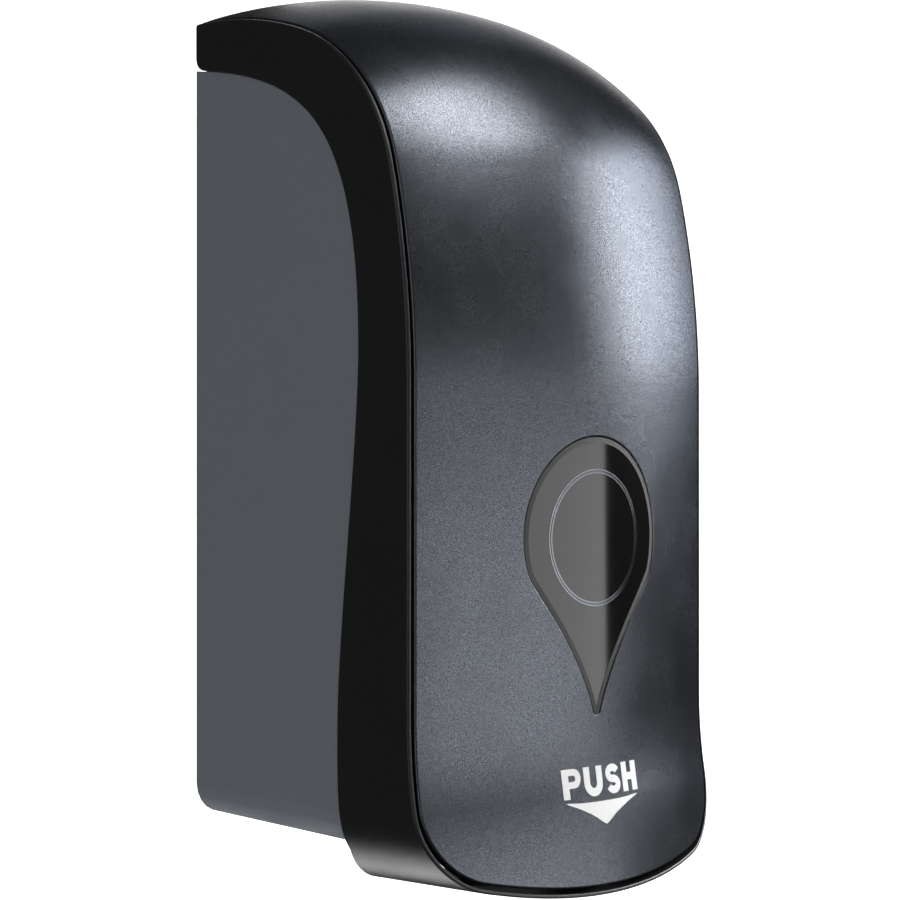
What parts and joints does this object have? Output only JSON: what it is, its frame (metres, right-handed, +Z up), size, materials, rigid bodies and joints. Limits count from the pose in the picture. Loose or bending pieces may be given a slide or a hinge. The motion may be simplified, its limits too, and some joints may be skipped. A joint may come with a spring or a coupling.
{
  "type": "wall mounted soap dispenser",
  "caption": "Wall mounted push dispenser for liquid soap: grey housing, dark hinged cover with crowned push panel, drop-shaped level window, refillable tank and piston pump.",
  "frame": {"origin": "on the wall plane, in the middle of the housing's back plate", "axes": "+X to the right seen from the front, +Y into the wall (the front faces -Y), +Z up"},
  "size_m": [0.113, 0.0916, 0.2284],
  "materials": {
    "housing_grey": "satin moulded grey",
    "band_black": "satin near-black with fine sparkle grain",
    "panel_metallic": "metallic black satin lacquer on plastic",
    "lens_smoked": "glossy smoked clear plastic",
    "bright_metal": "polished",
    "steel": "plain drawn steel",
    "dark_rubber": "matt black",
    "clear_silicone": "milky silicone",
    "tank_clear": "translucent natural plastic",
    "white_plastic": "natural white"
  },
  "bodies": {
    "housing": {"rear_housing": "housing_grey", "hinge_pin_left": "steel", "hinge_pin_right": "steel", "soap_tank": "tank_clear", "pump_body": "white_plastic", "pump_collar": "housing_grey", "inlet_valve": "clear_silicone", "inlet_seal": "clear_silicone", "nozzle": "housing_grey", "outlet_valve": "clear_silicone", "pump_bracket": "housing_grey", "bracket_screw_left": "steel", "bracket_screw_right": "steel"},
    "cover": {"cover_frame": "band_black", "panel_pin_left": "steel", "panel_pin_right": "steel", "panel_stop_left": "dark_rubber", "panel_stop_right": "dark_rubber"},
    "panel": {"push_panel": "panel_metallic", "window_lens": "lens_smoked", "window_gasket": "dark_rubber", "lens_ring": "bright_metal", "lens_retainer": "white_plastic"},
    "pump_plunger": {"plunger": "white_plastic", "plunger_pad": "dark_rubber", "piston_seal": "dark_rubber", "pump_spring": "steel"},
    "lock": {"lock_barrel": "bright_metal", "lock_cam": "steel", "lock_clip": "steel"},
    "cap": {"filler_cap": "housing_grey", "filler_cap_seal": "clear_silicone"}
  },
  "joints": [
    {"name": "cover_open", "type": "hinge", "parent": "housing", "child": "cover", "pos_m": [0, -0.052, -0.1], "axis": [1, 0, 0], "range_deg": [0, 80]},
    {"name": "panel_push", "type": "hinge", "parent": "cover", "child": "panel", "pos_m": [0, -0.058, 0.082], "axis": [1, 0, 0], "range_deg": [0, 2.1], "stiffness_Nm_per_rad": 1, "springref_deg": -5.73},
    {"name": "pump_press", "type": "slide", "parent": "housing", "child": "pump_plunger", "axis": [0, 1, 0], "range_m": [0, 0.0058], "stiffness_N_per_m": 100, "springref_m": -0.004, "deforming": ["pump_spring"]},
    {"name": "lock_turn", "type": "hinge", "parent": "cover", "child": "lock", "pos_m": [0.05, -0.024, 0.1], "axis": [-1, 0, 0], "range_deg": [0, 90]},
    {"name": "cap_turn", "type": "hinge", "parent": "housing", "child": "cap", "pos_m": [0, -0.036, 0.09], "axis": [0, 0, 1], "range_deg": [0, 60]}
  ],
  "couplings": [
    {"joint": "pump_press", "follows": "panel_push", "m_per_rad": 0.156}
  ]
}
